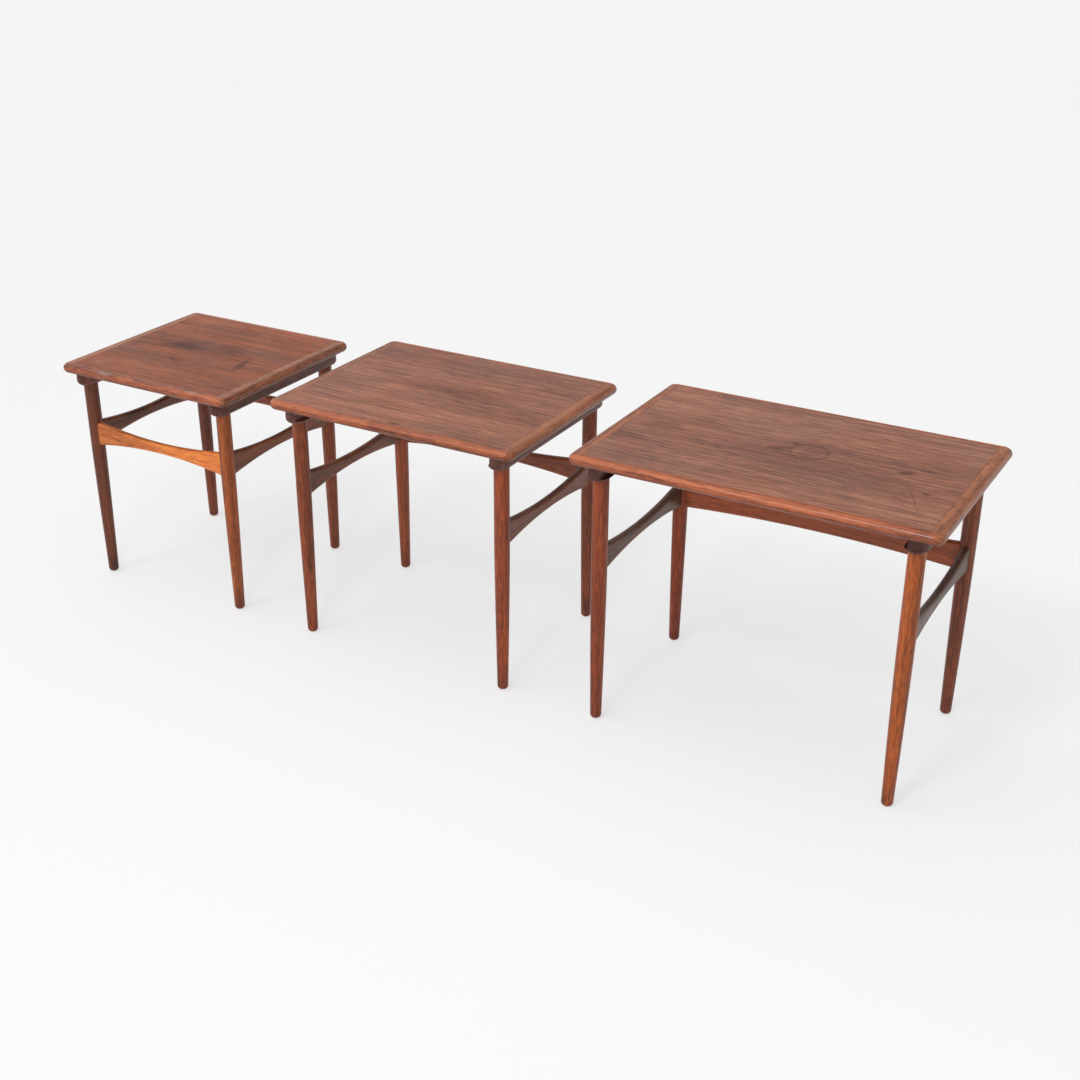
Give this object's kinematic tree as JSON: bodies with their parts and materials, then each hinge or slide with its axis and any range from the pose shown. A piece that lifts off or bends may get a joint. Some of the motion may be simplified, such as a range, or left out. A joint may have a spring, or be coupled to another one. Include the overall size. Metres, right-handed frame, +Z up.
{
  "type": "nesting tables",
  "caption": "Set of teak nesting tables set out side by side, with lipped veneered tops, turned tapered legs, bowed stretchers and rebated runners that guide the next smaller top.",
  "frame": {"origin": "on the floor, at the middle of the row's box", "axes": "+X along the row towards the large table, +Y towards the tables' backs, +Z up; the open fronts face -Y"},
  "size_m": [1.702, 0.392, 0.49],
  "materials": {
    "teak_face": "satin oiled teak veneer",
    "teak_backing": "matt backing veneer",
    "teak_lipping": "satin solid teak",
    "teak_runner": "satin solid teak",
    "teak_leg": "satin turned teak",
    "teak_stretcher": "satin solid teak",
    "board": "laminated softwood board",
    "screw_steel": "dulled zinc-plated steel"
  },
  "bodies": {
    "large_table": {"large_core": "board", "large_top_veneer": "teak_face", "large_under_veneer": "teak_backing", "large_front_lipping": "teak_lipping", "large_back_lipping": "teak_lipping", "large_left_lipping": "teak_lipping", "large_right_lipping": "teak_lipping", "large_left_runner": "teak_runner", "large_right_runner": "teak_runner", "large_front_left_leg": "teak_leg", "large_front_right_leg": "teak_leg", "large_back_left_leg": "teak_leg", "large_back_right_leg": "teak_leg", "large_left_stretcher": "teak_stretcher", "large_right_stretcher": "teak_stretcher", "large_back_stretcher": "teak_stretcher", "large_screws": "screw_steel"},
    "medium_table": {"medium_core": "board", "medium_top_veneer": "teak_face", "medium_under_veneer": "teak_backing", "medium_front_lipping": "teak_lipping", "medium_back_lipping": "teak_lipping", "medium_left_lipping": "teak_lipping", "medium_right_lipping": "teak_lipping", "medium_left_runner": "teak_runner", "medium_right_runner": "teak_runner", "medium_front_left_leg": "teak_leg", "medium_front_right_leg": "teak_leg", "medium_back_left_leg": "teak_leg", "medium_back_right_leg": "teak_leg", "medium_left_stretcher": "teak_stretcher", "medium_right_stretcher": "teak_stretcher", "medium_back_stretcher": "teak_stretcher", "medium_screws": "screw_steel"},
    "small_table": {"small_core": "board", "small_top_veneer": "teak_face", "small_under_veneer": "teak_backing", "small_front_lipping": "teak_lipping", "small_back_lipping": "teak_lipping", "small_left_lipping": "teak_lipping", "small_right_lipping": "teak_lipping", "small_left_runner": "teak_runner", "small_right_runner": "teak_runner", "small_front_left_leg": "teak_leg", "small_front_right_leg": "teak_leg", "small_back_left_leg": "teak_leg", "small_back_right_leg": "teak_leg", "small_left_stretcher": "teak_stretcher", "small_right_stretcher": "teak_stretcher", "small_back_stretcher": "teak_stretcher", "small_screws": "screw_steel", "small_front_stretcher": "teak_stretcher"}
  },
  "joints": [
    {"name": "medium_slide", "type": "slide", "parent": "large_table", "child": "medium_table", "axis": [0, -1, 0], "range_m": [0, 0.35]},
    {"name": "small_slide", "type": "slide", "parent": "medium_table", "child": "small_table", "axis": [0, -1, 0], "range_m": [0, 0.347]}
  ]
}
